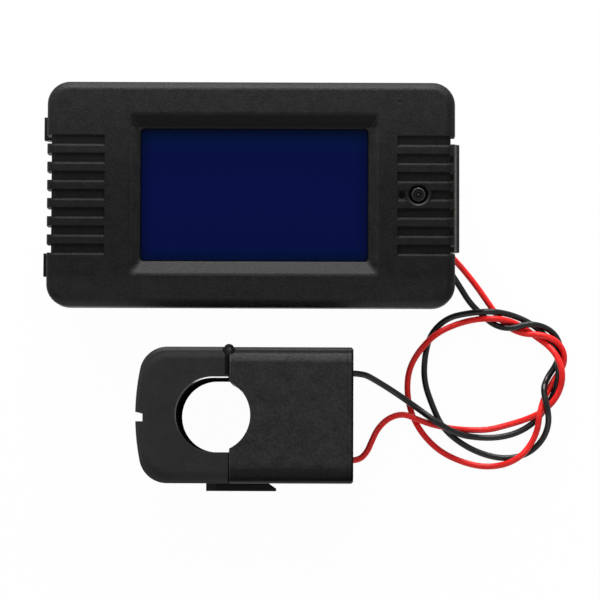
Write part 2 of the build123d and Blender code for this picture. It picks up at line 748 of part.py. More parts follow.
red_route = [
    (-7.6, 17.5, 7.2), (-3, 15.6, 6), (-0.1, 13.3, 2.4), (3, 10.1, 0.8), (5.9, 6.5, 0.8),
    (8.4, 2.9, 0.8), (10.7, -0.4, 0.8), (13.5, -3.3, 0.8), (16.7, -4.7, 1.8), (20.2, -4.8, 3),
    (23.7, -5.9, 2.7), (25.9, -8.5, 2.2), (25.9, -11.8, 1.5), (24, -14.5, 0.8), (22.4, -17.3, 0.8),
    (21, -19.7, 2.9), (20.1, -23, 3.9), (19.8, -26.4, 2.6), (18.3, -29.8, 1.8), (15.6, -32.8, 2.5),
    (11.8, -34.5, 1.3), (7.2, -34.8, 0.8), (2.5, -33.6, 0.8), (-2.1, -31.4, 0.8),
    (-5.9, -27.8, 0.8), (-8.6, -23.2, 0.8), (-9.7, -18, 0.8), (-9.3, -12.8, 0.8), (-6.9, -8.4, 2.1),
    (-3.3, -4.8, 2.4), (0.8, -2.7, 0.8), (5.3, -1.4, 1.1), (9.4, -1.2, 3.2), (13.4, -1.6, 1.9),
    (16.8, -3.2, 0.8), (19.8, -5.4, 0.8), (22.4, -7.4, 2.4), (24.3, -10, 4), (25.4, -13.5, 4.1),
    (25.1, -16.8, 3), (23.5, -20, 2.2), (20.6, -22.5, 2.3), (17.1, -24.1, 1.2), (13.1, -25.3, 0.8),
    (9, -26.4, 0.8), (4.7, -26.5, 0.8), (0.7, -26.2, 2.1), (-3.2, -25.5, 2.3), (-6.9, -24.3, 2.2),
    (-10.4, -22.8, 2.3), (-13.8, -23.7, 3.4), (-16.4, -26.2, 4.5), (-17.8, -29.2, 5.6),
    (-18.9, -31.7, 6.9)
]
black_route = [
    (-7.2, 13.1, 6.9), (-2.4, 11.8, 5.3), (-0.1, 9.7, 1.7), (2.3, 6.1, 0.8), (4.5, 2.5, 0.8),
    (7.3, -0.3, 0.8), (10.2, -2.8, 1.2), (13.7, -3.6, 2.6), (17.4, -2.4, 2.7), (21, -2.8, 1.9),
    (24, -4.6, 0.8), (25.4, -8, 0.8), (24.2, -11.6, 0.8), (22, -14.7, 1), (20.9, -17.4, 3.8),
    (21.9, -21.4, 4.7), (22.4, -25.2, 2.5), (20.9, -29.1, 0.8), (17.3, -32.1, 0.8),
    (12.4, -33, 0.8), (7.3, -31.9, 0.8), (2.5, -29.5, 0.8), (-1.7, -25.9, 0.8), (-4, -20.8, 0.8),
    (-5.8, -15.5, 0.8), (-5.7, -10, 0.8), (-4.4, -4.7, 0.8), (-0.6, -1, 0.8), (4.4, 0.1, 1.6),
    (9.3, 0.4, 3.2), (13.5, -0.1, 0.8), (17.8, -1.8, 0.8), (21.2, -4.4, 0.8), (23.8, -7.5, 1.5),
    (24.6, -11.2, 2.6), (24.5, -15.1, 2.5), (23.5, -18.5, 1), (21.6, -21.8, 0.8), (19, -24.9, 0.8),
    (15.4, -27.1, 0.8), (11, -28.2, 0.8), (6.2, -28.2, 0.8), (1.6, -27.4, 3), (-3.2, -24.7, 4),
    (-7.7, -21.3, 2.3), (-12.8, -17.8, 3.2), (-17.3, -15.2, 6.9)
]


def make_lead(way, side, route):
    start, finish = lead_ends(way, side)
    corner = Vector(bezel_length / 2, -bezel_width / 2, 0)
    middle = [corner + Vector(*point) for point in route]
    points = [Vector(*point) for point in start] + middle + [Vector(*point) for point in finish]
    runs = [(b - a).length for a, b in zip(points, points[1:])]
    radii = []
    for a, b, c in zip(points, points[1:], points[2:]):
        half_turn = math.radians((b - a).get_angle(c - b)) / 2
        radii.append(0.45 * min((b - a).length, (c - b).length) / math.tan(half_turn))
    path = FilletPolyline(*points, radius=radii)
    outline = RegularPolygon(lead_radius, lead_sides)
    section = Plane(path @ 0, z_dir=path % 0) * outline
    tube = sweep(section, path=path)
    print("lead: runs", round(min(runs), 1), "to", round(max(runs), 1), "radii from", round(min(radii), 1),
          "length", round(path.length, 1), "volume ratio",
          round(tube.volume / (path.length * outline.area), 4))
    return tube


def main():
    parts["front_cover"] = make_front_cover()
    parts["rear_case"] = make_rear_case()
    parts["panel_clip"] = make_panel_clip()
    parts["lcd_glass"], parts["lcd_polariser"], parts["lcd_backlight"] = make_display()
    parts["lcd_pins"] = make_display_pins()
    parts["main_board"] = make_board()
    parts["board_screws"] = make_board_screws()
    parts["button_cap"] = make_button()
    parts["tact_switch"] = make_switch()
    parts["switch_plunger"] = make_plunger()
    parts["transformer"] = make_transformer()
    parts["electrolytic_capacitors"] = Compound(children=[
            make_capacitor(along(0.388), across(0.526), 4.0, 11.5),
            make_capacitor(along(0.388), across(-0.053), 4.0, 11.5),
            make_capacitor(along(0.543), across(0.579), 3.15, 9.0)])
    film_box = block(span(along(0.181), 13.0), span(across(0.653), 6.0), (board_z - 11.0, board_z))
    parts["film_capacitor"] = chamfer(film_box.edges().group_by(Axis.Z)[0], 0.6)
    parts["varistor"] = make_varistor()
    parts["metering_chip"] = make_chip(along(0.581), across(-0.421), 10.0, 5.4, 1.9, 7)
    parts["controller_chip"] = make_chip(along(0.568), across(0.105), 12.6, 7.5, 2.2, 8)
    parts["power_chip"] = make_chip(along(0.297), across(-0.684), 9.6, 6.4, 3.4, 4)
    parts["terminal_block"] = make_terminal_block()
    parts["terminal_contacts"] = make_terminal_contacts()
    parts["lead_wire_ends"] = make_wire_ends()
    for way, y in enumerate(way_places(), start=1):
        parts[f"terminal_clamp_{way}"] = make_clamp(y)
        parts[f"terminal_screw_{way}"] = make_terminal_screw(y)

    place = Pos(sensor_x, sensor_y, 0)
    sensor = {"sensor_shell": make_sensor_shell(), "sensor_end_cover": make_end_cover(),
              "jaw_shell": make_jaw_shell(), "latch_arm": make_latch(), "core_fixed": make_core_fixed(),
              "core_jaw": make_core_jaw(), "core_spring": make_core_spring(), "bobbin": make_bobbin(),
              "winding": make_winding(), "lead_board": make_lead_board(),
              "hinge_pins": make_hinge_pins()}
    for name, solid in sensor.items():
        parts[name] = place * solid
    parts["lead_red"] = make_lead(1, -1, red_route)
    parts["lead_black"] = make_lead(0, 1, black_route)
    for name, solid in parts.items():
        export_step(solid, f"parts/{name}.step")


main()
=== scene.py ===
import bmesh
import bpy
import math
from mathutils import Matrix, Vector


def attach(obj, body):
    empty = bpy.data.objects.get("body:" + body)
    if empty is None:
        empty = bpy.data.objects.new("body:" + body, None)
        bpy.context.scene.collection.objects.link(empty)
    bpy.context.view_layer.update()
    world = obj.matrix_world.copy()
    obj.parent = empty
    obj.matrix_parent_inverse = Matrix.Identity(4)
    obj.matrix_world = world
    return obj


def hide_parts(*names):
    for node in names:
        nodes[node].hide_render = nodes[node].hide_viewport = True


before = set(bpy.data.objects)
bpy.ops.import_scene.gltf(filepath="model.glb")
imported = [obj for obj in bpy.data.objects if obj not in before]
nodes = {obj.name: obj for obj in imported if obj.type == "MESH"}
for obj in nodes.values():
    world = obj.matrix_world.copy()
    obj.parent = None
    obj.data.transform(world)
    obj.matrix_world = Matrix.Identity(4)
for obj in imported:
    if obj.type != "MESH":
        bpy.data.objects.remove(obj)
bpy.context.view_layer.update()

scene = bpy.context.scene
scene.view_settings.view_transform = "Standard"
print("frame loaded")

# the camera looks almost straight down, from a little south of the middle
camera = {"place": (0.01095, -0.05718, 0.6244), "tilt": 3.24, "roll": 0.2, "lens": 165.0, "near": 0.01}
bpy.ops.object.camera_add(location=camera["place"],
                          rotation=(math.radians(camera["tilt"]), 0, math.radians(camera["roll"])))
scene.camera = bpy.context.object
scene.camera.data.lens = camera["lens"]
scene.camera.data.clip_start = camera["near"]
print("camera set")


def deselectAll():
    bpy.ops.object.select_all(action="DESELECT")


def startMaterial(name):
    material = bpy.data.materials.new(name)
    material.use_nodes = True
    tree = material.node_tree
    shader = tree.nodes["Principled BSDF"]
    coords = tree.nodes.new("ShaderNodeTexCoord").outputs["Object"]
    return material, tree, shader, coords


def setInputs(node, values):
    for name, value in values.items():
        node.inputs[name].default_value = value


def addNode(tree, kind, values, vector=None):
    node = tree.nodes.new(kind)
    setInputs(node, values)
    if vector is not None:
        tree.links.new(vector, node.inputs["Vector"])
    return node


def addNoise(tree, coords, scale, detail=4, rough=0.55):
    values = {"Scale": scale, "Detail": detail, "Roughness": rough}
    return addNode(tree, "ShaderNodeTexNoise", values, coords).outputs["Fac"]


def addWave(tree, coords, direction, scale, distortion):
    wave = addNode(tree, "ShaderNodeTexWave", {"Scale": scale, "Distortion": distortion}, coords)
    wave.bands_direction = direction
    return wave.outputs["Fac"]


def addRamp(tree, source, stops):
    ramp = tree.nodes.new("ShaderNodeValToRGB")
    tree.links.new(source, ramp.inputs["Fac"])
    stops = list(stops)
    while len(ramp.color_ramp.elements) < len(stops):
        ramp.color_ramp.elements.new(0.5)
    for element, (place, colour) in zip(ramp.color_ramp.elements, stops):
        element.position = place
        element.color = (*colour, 1)
    return ramp.outputs["Color"]


def paint(tree, shader, source, stops):
    tree.links.new(addRamp(tree, source, stops), shader.inputs["Base Color"])


def addRange(tree, source, start, end, low=0.0, high=1.0, kind="LINEAR"):
    values = {"From Min": start, "From Max": end, "To Min": low, "To Max": high}
    span = addNode(tree, "ShaderNodeMapRange", values)
    span.interpolation_type = kind
    tree.links.new(source, span.inputs["Value"])
    return span.outputs["Result"]


def varyRoughness(tree, shader, source, low, high):
    tree.links.new(addRange(tree, source, 0.0, 1.0, low, high), shader.inputs["Roughness"])


def makeBump(tree, source, strength, distance, under=None):
    bump = addNode(tree, "ShaderNodeBump", {"Strength": strength, "Distance": distance})
    tree.links.new(source, bump.inputs["Height"])
    if under is not None:
        tree.links.new(under, bump.inputs["Normal"])
    return bump.outputs["Normal"]


def addBump(tree, shader, source, strength, distance, under=None):
    tree.links.new(makeBump(tree, source, strength, distance, under), shader.inputs["Normal"])


# noise of scuffs and grain, how far the scuffs change colour and roughness, and the grain's relief
vinyl = {"scuffs": (260, 4, 0.6), "grain": (2600, 2, 0.5), "colours": (0.3, 0.62), "rough": (-0.06, 0.08),
         "relief": (0.12, 0.00003)}


def leadInsulation(name, look):
    # soft vinyl with a fine grain, a little scuffed
    material, tree, shader, coords = startMaterial(name)
    scuffs = addNoise(tree, coords, *vinyl["scuffs"])
    fine = addNoise(tree, coords, *vinyl["grain"])
    paint(tree, shader, scuffs, zip(vinyl["colours"], (look["dark"], look["light"])))
    smoother, rougher = vinyl["rough"]
    varyRoughness(tree, shader, scuffs, look["rough"] + smoother, look["rough"] + rougher)
    addBump(tree, shader, fine, *vinyl["relief"])
    setInputs(shader, {"Specular IOR Level": look["specular"]})
    return material


# the two leads, with the route's corners in millimetres
leads = {
    "leadRed": {
        "node": "lead_red", "slot": "lead_red", "exit": (28.2, -3.81, 7.45), "length": 0.2328,
        "look": {"dark": (0.74, 0.012, 0.011), "light": (0.94, 0.026, 0.023), "rough": 0.25,
                 "specular": 0.18},
        "route": [
            (28.2, -3.81, 7.45), (32.8, -3.81, 7.45), (37.2, -7.3, 7.2), (41.8, -9.2, 6),
            (44.7, -11.5, 2.4), (47.8, -14.7, 0.8), (50.7, -18.3, 0.8), (53.2, -21.9, 0.8),
            (55.5, -25.2, 0.8), (58.3, -28.1, 0.8), (61.5, -29.5, 1.8), (65, -29.6, 3),
            (68.5, -30.7, 2.7), (70.7, -33.3, 2.2), (70.7, -36.6, 1.5), (68.8, -39.3, 0.8),
            (67.2, -42.1, 0.8), (65.8, -44.5, 2.9), (64.9, -47.8, 3.9), (64.6, -51.2, 2.6),
            (63.1, -54.6, 1.8), (60.4, -57.6, 2.5), (56.6, -59.3, 1.3), (52, -59.6, 0.8),
            (47.3, -58.4, 0.8), (42.7, -56.2, 0.8), (38.9, -52.6, 0.8), (36.2, -48, 0.8),
            (35.1, -42.8, 0.8), (35.5, -37.6, 0.8), (37.9, -33.2, 2.1), (41.5, -29.6, 2.4),
            (45.6, -27.5, 0.8), (50.1, -26.2, 1.1), (54.2, -26, 3.2), (58.2, -26.4, 1.9),
            (61.6, -28, 0.8), (64.6, -30.2, 0.8), (67.2, -32.2, 2.4), (69.1, -34.8, 4),
            (70.2, -38.3, 4.1), (69.9, -41.6, 3), (68.3, -44.8, 2.2), (65.4, -47.3, 2.3),
            (61.9, -48.9, 1.2), (57.9, -50.1, 0.8), (53.8, -51.2, 0.8), (49.5, -51.3, 0.8),
            (45.5, -51, 2.1), (41.6, -50.3, 2.3), (37.9, -49.1, 2.2), (34.4, -47.6, 2.3),
            (31, -48.5, 3.4), (28.4, -51, 4.5), (27, -54, 5.6), (25.9, -56.5, 6.9), (23.9, -58.3, 8),
            (21, -58.3, 8)]},
    "leadBlack": {
        "node": "lead_black", "slot": "lead_black", "exit": (28.2, -11.43, 7.45), "length": 0.2267,
        "look": {"dark": (0.002, 0.002, 0.002), "light": (0.006, 0.006, 0.006), "rough": 0.24,
                 "specular": 0.24},
        "route": [
            (28.2, -11.43, 7.45), (32.8, -11.43, 7.45), (37.6, -11.7, 6.9), (42.4, -13, 5.3),
            (44.7, -15.1, 1.7), (47.1, -18.7, 0.8), (49.3, -22.3, 0.8), (52.1, -25.1, 0.8),
            (55, -27.6, 1.2), (58.5, -28.4, 2.6), (62.2, -27.2, 2.7), (65.8, -27.6, 1.9),
            (68.8, -29.4, 0.8), (70.2, -32.8, 0.8), (69, -36.4, 0.8), (66.8, -39.5, 1),
            (65.7, -42.2, 3.8), (66.7, -46.2, 4.7), (67.2, -50, 2.5), (65.7, -53.9, 0.8),
            (62.1, -56.9, 0.8), (57.2, -57.8, 0.8), (52.1, -56.7, 0.8), (47.3, -54.3, 0.8),
            (43.1, -50.7, 0.8), (40.8, -45.6, 0.8), (39, -40.3, 0.8), (39.1, -34.8, 0.8),
            (40.4, -29.5, 0.8), (44.2, -25.8, 0.8), (49.2, -24.7, 1.6), (54.1, -24.4, 3.2),
            (58.3, -24.9, 0.8), (62.6, -26.6, 0.8), (66, -29.2, 0.8), (68.6, -32.3, 1.5),
            (69.4, -36, 2.6), (69.3, -39.9, 2.5), (68.3, -43.3, 1), (66.4, -46.6, 0.8),
            (63.8, -49.7, 0.8), (60.2, -51.9, 0.8), (55.8, -53, 0.8), (51, -53, 0.8), (46.4, -52.2, 3),
            (41.6, -49.5, 4), (37.1, -46.1, 2.3), (32, -42.6, 3.2), (27.5, -40, 6.9), (24.9, -38.7, 8),
            (21, -38.7, 8)]},
}
leadForm = {"radius": 0.0007, "steps": 12, "bevel": 6}


def makeLead(name, lead):
    curve = bpy.data.curves.new(name, "CURVE")
    curve.dimensions = "3D"
    spline = curve.splines.new("NURBS")
    spline.points.add(len(lead["route"]) - 1)
    for point, (x, y, z) in zip(spline.points, lead["route"]):
        point.co = (x / 1000, y / 1000, z / 1000, 1)
    spline.order_u = 3
    spline.use_endpoint_u = True
    spline.resolution_u = leadForm["steps"]
    curve.resolution_u = leadForm["steps"]
    curve.bevel_depth = leadForm["radius"]
    curve.bevel_resolution = leadForm["bevel"]
    curve.use_fill_caps = True
    piece = bpy.data.objects.new(name, curve)
    scene.collection.objects.link(piece)
    curve.materials.append(leadInsulation(name + "Vinyl", lead["look"]))
    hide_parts(lead["node"])
    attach(piece, "meter")


for leadName, lead in leads.items():
    makeLead(leadName, lead)
print("leads laid")


def addVector(tree, operation, source, values=None):
    step = tree.nodes.new("ShaderNodeVectorMath")
    step.operation = operation
    tree.links.new(source, step.inputs[0])
    if values is not None:
        step.inputs[1].default_value = values
    return step.outputs["Value" if operation == "LENGTH" else "Vector"]


def scaleColour(tree, colour, factor):
    scaled = tree.nodes.new("ShaderNodeVectorMath")
    scaled.operation = "SCALE"
    tree.links.new(colour, scaled.inputs[0])
    tree.links.new(factor, scaled.inputs["Scale"])
    return scaled.outputs["Vector"]


def addMath(tree, operation, first, second=0.0):
    step = tree.nodes.new("ShaderNodeMath")
    step.operation = operation
    for socket, value in zip(step.inputs, (first, second)):
        if isinstance(value, (int, float)):
            socket.default_value = value
        else:
            tree.links.new(value, socket)
    return step.outputs["Value"]


def multiply(tree, *factors):
    total = factors[0]
    for factor in factors[1:]:
        total = addMath(tree, "MULTIPLY", total, factor)
    return total


def addUp(tree, *values):
    total = values[0]
    for value in values[1:]:
        total = addMath(tree, "ADD", total, value)
    return total


def addBand(tree, source, rise, fall):
    # one between the two spans and none beyond them
    return multiply(tree, addRange(tree, source, *rise), addRange(tree, source, *fall))


def splitPlace(tree, coords):
    split = addNode(tree, "ShaderNodeSeparateXYZ", {}, coords)
    return split.outputs["X"], split.outputs["Y"], split.outputs["Z"]


def flatLength(tree, source):
    return addVector(tree, "LENGTH", addVector(tree, "MULTIPLY", source, (1, 1, 0)))


def distanceFrom(tree, coords, centre):
    # how far a point is from an upright axis
    return flatLength(tree, addVector(tree, "SUBTRACT", coords, (*centre, 0)))


def distanceOutside(tree, coords, centre, half):
    # how far a point is outside an upright box
    shifted = addVector(tree, "SUBTRACT", coords, (*centre, 0))
    past = addVector(tree, "SUBTRACT", addVector(tree, "ABSOLUTE", shifted), (*half, 0))
    return flatLength(tree, addVector(tree, "MAXIMUM", past, (0, 0, 0)))


def softEdge(tree, radius):
    # moulded edges are never quite sharp
    soft = addNode(tree, "ShaderNodeBevel", {"Radius": radius})
    soft.samples = 6
    return soft.outputs["Normal"]


def crownEdge(tree, coords, crown, under):
    # the top face falls away before the edge and may rise again right at it
    wide, high = crown["half"]
    corner = crown["corner"]
    past = distanceOutside(tree, coords, crown["centre"], (wide - corner, high - corner))
    edge = addMath(tree, "SUBTRACT", corner, past)
    far, near = crown["fall"][1], crown["fall"][0]
    fall = multiply(tree, addRange(tree, edge, far, near, kind="SMOOTHSTEP"), crown["drop"])
    lift = multiply(tree, addRange(tree, edge, *crown["lift"], kind="SMOOTHSTEP"), crown["rise"])
    height = addMath(tree, "SUBTRACT", 0.0, addUp(tree, fall, lift))
    return makeBump(tree, height, 1.0, 0.001, under)


# what all moulded pieces share: parts of grain and cloud in the colour, spread of the colour, depth of the
# grain, how far the roughness varies, and strength and depth of the wide waves
mould = {"grain": 0.65, "cloud": 0.35, "spread": 0.16, "relief": 0.00006, "uneven": 0.06,
         "waves": (0.25, 0.00012)}


def mouldedPlastic(name, look):
    # spark-eroded grain, a wider cloud in the colour and slightly uneven gloss
    material, tree, shader, coords = startMaterial(name)
    grain = addNoise(tree, coords, look["grain"], 3, 0.6)
    cloud = addNoise(tree, coords, look["cloud"], 4, 0.5)
    mixed = addUp(tree, multiply(tree, grain, mould["grain"]), multiply(tree, cloud, mould["cloud"]))
    spread = look.get("spread", mould["spread"])
    colour = addRamp(tree, mixed, [(0.5 - spread, look["dark"]), (0.5 + spread, look["light"])])
    setInputs(shader, {"Specular IOR Level": look["specular"]})
    if "shade" in look:
        # the look's painted light and shade scale colour and gloss; a painted shade below zero keeps its
        # colour and has no gloss
        factor = look["shade"](tree, coords)
        gloss = multiply(tree, addMath(tree, "MAXIMUM", factor), look["specular"])
        tree.links.new(gloss, shader.inputs["Specular IOR Level"])
        colour = scaleColour(tree, colour, addMath(tree, "ABSOLUTE", factor))
    tree.links.new(colour, shader.inputs["Base Color"])
    varyRoughness(tree, shader, cloud, look["rough"] - mould["uneven"], look["rough"] + mould["uneven"])
    soft = None
    if "edge" in look:
        soft = softEdge(tree, look["edge"])
        if "crown" in look:
            soft = crownEdge(tree, coords, look["crown"], soft)
    waves = makeBump(tree, cloud, *mould["waves"], soft)
    addBump(tree, shader, grain, look["bump"], look.get("relief", mould["relief"]), waves)
    return material


# places on the front: the window's half sizes at the foot and at the top of its bevels, the push-button
# with its collar under the plate, and the small opening in the groove beside it
window = {"centre": (0.0007, 0), "foot": (0.0250, 0.0146), "top": (0.0272, 0.0176), "soft": 0.0002}
button = {"place": (0.0367, 0.0), "collar": (0.02085, 0.02175, 0.0025), "top": 0.02425, "radius": 0.00155,
          "round": 0.00016, "sides": 48,
          "steps": [(0.00012, 0.0), (0.00012, 0.0), (0.00016, -0.00009), (0.0003, -0.00006),
                    (0.00012, 0.00004), (0.00045, -0.00005), (0.00010, 0.00007)]}
opening = {"place": (0.0331, 0.0), "floor": 0.0233, "rise": 0.00016, "radius": 0.00068, "wall": 0.0002,
           "under": 0.0001, "step": 0.00003, "round": 0.00006, "sides": 32}

# painted light and shade on the front: spans with the factors at either end, and added or taken shares
frontShade = {"slope": (0.002, 0.022, 0.66, 1.06), "foot": (-0.0246, -0.0226, 1.9, 1.0),
              "strip": (-0.0176, -0.0192, 1.0, 1.2), "ends": 0.8, "sill": 0.45, "head": -0.4,
              "mitre": (-0.0001, 0.0002), "dark": (0.0003, 0.0006, 0.4, 1.0),
              "around": ((0.0007, 0.0009), (0.0019, 0.0017)), "depth": (0.0240, 0.0239), "aroundShare": 1.6,
              "lip": ((0.00205, 0.0022), (0.0026, 0.0023)), "lipSide": (0.0, -0.0016, 0.0, 2.2)}


def shadeBevels(tree, x, y):
    # painted light on the window's bevels at both ends and below, painted shade on the one above
    footX, footY = window["foot"]
    topX, topY = window["top"]
    soft = window["soft"]
    sideways = addMath(tree, "ABSOLUTE", addMath(tree, "SUBTRACT", x, window["centre"][0]))
    within = addRange(tree, sideways, topX, topX - soft)
    level = addRange(tree, addMath(tree, "ABSOLUTE", y), footY + 2 * soft, footY + soft / 2)
    ends = multiply(tree, within, level, frontShade["ends"])
    sill = addBand(tree, y, (-footY, -footY - soft), (-topY - soft, -topY))
    sill = multiply(tree, within, sill, frontShade["sill"])
    corner = addMath(tree, "SUBTRACT", y, addRange(tree, sideways, footX, topX, footY, topY))
    head = addBand(tree, y, (footY, footY + soft), (topY + soft, topY - 2 * soft))
    head = multiply(tree, addRange(tree, corner, *frontShade["mitre"]), head, frontShade["head"])
    return addUp(tree, ends, sill, head, 1.0)


def shadeHousing(tree, coords):
    # painted light and shade: lighter towards the top edge, at the foot and below the window, lit and
    # shaded window bevels, painted shade in the small opening with painted light on the groove floor round
    # it, and a painted highlight on the lower lip of the button hole
    x, y, z = splitPlace(tree, coords)
    slope = addRange(tree, y, *frontShade["slope"])
    reach = distanceFrom(tree, coords, opening["place"])
    around = multiply(tree, addBand(tree, reach, *frontShade["around"]),
                      addRange(tree, z, *frontShade["depth"]), frontShade["aroundShare"])
    hole = addUp(tree, addRange(tree, reach, *frontShade["dark"]), around)
    lip = addBand(tree, distanceFrom(tree, coords, button["place"]), *frontShade["lip"])
    lip = multiply(tree, lip, addRange(tree, y, *frontShade["lipSide"]))
    foot = addRange(tree, y, *frontShade["foot"])
    strip = addRange(tree, y, *frontShade["strip"])
    return multiply(tree, slope, hole, foot, strip, shadeBevels(tree, x, y), addUp(tree, lip, 1.0))


# the sensor's cable window and hinge, and the painted light and shade round them
cableBore = {"centre": (-0.0078, -0.0485), "radius": 0.008, "top": 0.033, "rim": 0.00028,
             "wall": (0.00005, 0.0001), "mouth": (0.0003, 0.0002), "soft": 0.0001, "dark": -2.0,
             "towards": (-0.6, 0.8), "gleam": (0.0068, 0.008, 2.6, 60.0), "turn": (0.0005, 0.005)}
hinge = {"axis": (-0.0044, -0.03435), "shade": (0.0011, 0.0014, 0.45, 1.0)}
shellShade = {"top": (0.0322, 0.0325), "end": (0.0219, 0.0222), "endShare": 0.85,
              "face": (-0.0039, -0.0042), "faceShare": -0.5, "low": (-0.0586, -0.0620), "lowShare": 0.66}
jawShade = {"near": (-0.00545, -0.00515), "upper": (-0.0400, -0.0396), "share": 0.75}


def boreFactor(tree, coords):
    # painted shade: the wall of the cable window loses its gloss so it stays dark, and its upper-left rim
    # carries a painted highlight
    centreX, centreY = cableBore["centre"]
    towardsX, towardsY = cableBore["towards"]
    radius, rim = cableBore["radius"], cableBore["radius"] + cableBore["rim"]
    shifted = addVector(tree, "SUBTRACT", coords, (centreX, centreY, 0))
    reach = flatLength(tree, addVector(tree, "MINIMUM", shifted, (0, 1, 0)))
    x, y, z = splitPlace(tree, coords)
    outside = addRange(tree, reach, radius + cableBore["wall"][0], radius + cableBore["wall"][1])
    top = cableBore["top"]
    above = addRange(tree, z, top - cableBore["mouth"][0], top - cableBore["mouth"][1])
    lit = addRange(tree, addMath(tree, "MAXIMUM", outside, above), 0.0, 1.0, cableBore["dark"], 1.0)
    ring = multiply(tree, addRange(tree, reach, rim, rim - cableBore["soft"]), above)
    start, end, low, high = cableBore["gleam"]
    gleam = addRange(tree, y, centreY + start, centreY + end, low, high)
    side = addUp(tree, multiply(tree, x, towardsX), multiply(tree, y, towardsY))
    middle = towardsX * centreX + towardsY * centreY
    side = addRange(tree, side, middle + cableBore["turn"][0], middle + cableBore["turn"][1])
    return multiply(tree, lit, addUp(tree, multiply(tree, ring, gleam, side), 1.0))


def shadeKnuckle(tree, coords):
    # painted shade round the hinge knuckle
    return addRange(tree, distanceFrom(tree, coords, hinge["axis"]), *hinge["shade"])


def shadeShell(tree, coords):
    # a dark joint line, painted as shade, where the top meets the end cover, a painted highlight along the
    # split, and painted shade on the lower margin
    x, y, z = splitPlace(tree, coords)
    top = addRange(tree, z, *shellShade["top"])
    end = multiply(tree, addRange(tree, x, *shellShade["end"]), shellShade["endShare"])
    face = multiply(tree, addRange(tree, x, *shellShade["face"]), shellShade["faceShare"])
    low = multiply(tree, addRange(tree, y, *shellShade["low"]), shellShade["lowShare"])
    marks = multiply(tree, addUp(tree, end, face, low), top)
    return multiply(tree, shadeKnuckle(tree, coords), addMath(tree, "SUBTRACT", 1.0, marks))


def shadeJaw(tree, coords):
    # painted shadow: the joint between hinge and window is painted deep in shadow
    x, y = splitPlace(tree, coords)[:2]
    joint = multiply(tree, addRange(tree, x, *jawShade["near"]), addRange(tree, y, *jawShade["upper"]),
                     jawShade["share"])
    gap = addMath(tree, "SUBTRACT", 1.0, joint)
    return multiply(tree, gap, shadeKnuckle(tree, coords), boreFactor(tree, coords))


# painted light and shade on the clip strip and on the button cap
clipShade = {"rising": (0.0449, 0.04515, 0.3, 3.4), "falling": (0.0454, 0.04565, 1.0, 0.22)}
capShade = {"ring": ((0.00118, 0.0013), (0.00158, 0.00146)), "shine": (-0.0012, 0.0014, 1.0, 6.0),
            "inner": ((0.0007, 0.0008), (0.00098, 0.0009)), "point": (0.0002, 0.0001, 0.0, 5.0),
            "least": 0.5}


def shadeClip(tree, coords):
    # a painted highlight along the strip, with painted shade inside it and a little painted shade outside
    # it
    x = splitPlace(tree, coords)[0]
    return multiply(tree, addRange(tree, x, *clipShade["rising"]), addRange(tree, x, *clipShade["falling"]))


def shadeButton(tree, coords):
    # painted shade in the dished middle with a small lighter point and a lighter inner ring, inside a ring
    # with a painted highlight at the top
    reach = distanceFrom(tree, coords, button["place"])
    y = splitPlace(tree, coords)[1]
    shine = multiply(tree, addBand(tree, reach, *capShade["ring"]), addRange(tree, y, *capShade["shine"]))
    inner = addBand(tree, reach, *capShade["inner"])
    return addUp(tree, shine, inner, addRange(tree, reach, *capShade["point"]), capShade["least"])


housingLook = {"dark": (0.0015, 0.0015, 0.0016), "light": (0.0105, 0.0105, 0.0106), "spread": 0.13,
               "grain": 2200, "cloud": 420, "rough": 0.5, "bump": 1.0, "relief": 0.0001, "specular": 0.14,
               "edge": 0.0003, "shade": shadeHousing,
               "crown": {"centre": (0, 0), "half": (0.0448, 0.0248), "corner": 0.005,
                         "fall": (0.0005, 0.0020), "drop": 0.4, "lift": (0.0, 0.0004), "rise": 0.0}}
sensorLook = {"dark": (0.005, 0.005, 0.0051), "light": (0.0215, 0.0215, 0.0217), "spread": 0.15,
              "grain": 1900, "cloud": 300, "rough": 0.5, "bump": 0.9, "relief": 0.00008, "specular": 0.12,
              "edge": 0.0003, "shade": shadeShell,
              "crown": {"centre": (0, -0.0485), "half": (1.0, 0.0147), "corner": 0.005,
                        "fall": (0.0010, 0.0034), "drop": 0.8, "lift": (0.0002, 0.0015), "rise": 0.5}}
jawLook = {"dark": (0.0085, 0.0085, 0.0086), "light": (0.018, 0.018, 0.0182), "grain": 2600, "cloud": 260,
           "rough": 0.48, "bump": 0.5, "specular": 0.12, "edge": 0.00025, "shade": shadeJaw,
           "crown": {"centre": (0.0108, -0.0485), "half": (0.035, 0.0147), "corner": 0.007,
                     "fall": (0.0006, 0.0026), "drop": 0.4, "lift": (0.0, 0.0004), "rise": 0.0}}
clipLook = {"dark": (0.026, 0.027, 0.023), "light": (0.041, 0.042, 0.037), "grain": 1700, "cloud": 350,
            "rough": 0.44, "bump": 0.4, "specular": 0.15, "edge": 0.00015, "shade": shadeClip}
buttonLook = {"dark": (0.002, 0.002, 0.002), "light": (0.006, 0.006, 0.006), "grain": 2200, "cloud": 420,
              "rough": 0.36, "bump": 0.3, "specular": 0.09, "edge": 0.00012, "shade": shadeButton}
latchLook = {"dark": (0.002, 0.002, 0.002), "light": (0.006, 0.006, 0.006), "grain": 2600, "cloud": 260,
             "rough": 0.46, "bump": 0.5, "specular": 0.1, "edge": 0.0003}
housing = mouldedPlastic("housingPlastic", housingLook)
sensorPlastic = mouldedPlastic("sensorPlastic", sensorLook)
jawPlastic = mouldedPlastic("jawPlastic", jawLook)
latchPlastic = mouldedPlastic("latchPlastic", latchLook)
clipPlastic = mouldedPlastic("clipPlastic", clipLook)
buttonPlastic = mouldedPlastic("buttonPlastic", buttonLook)
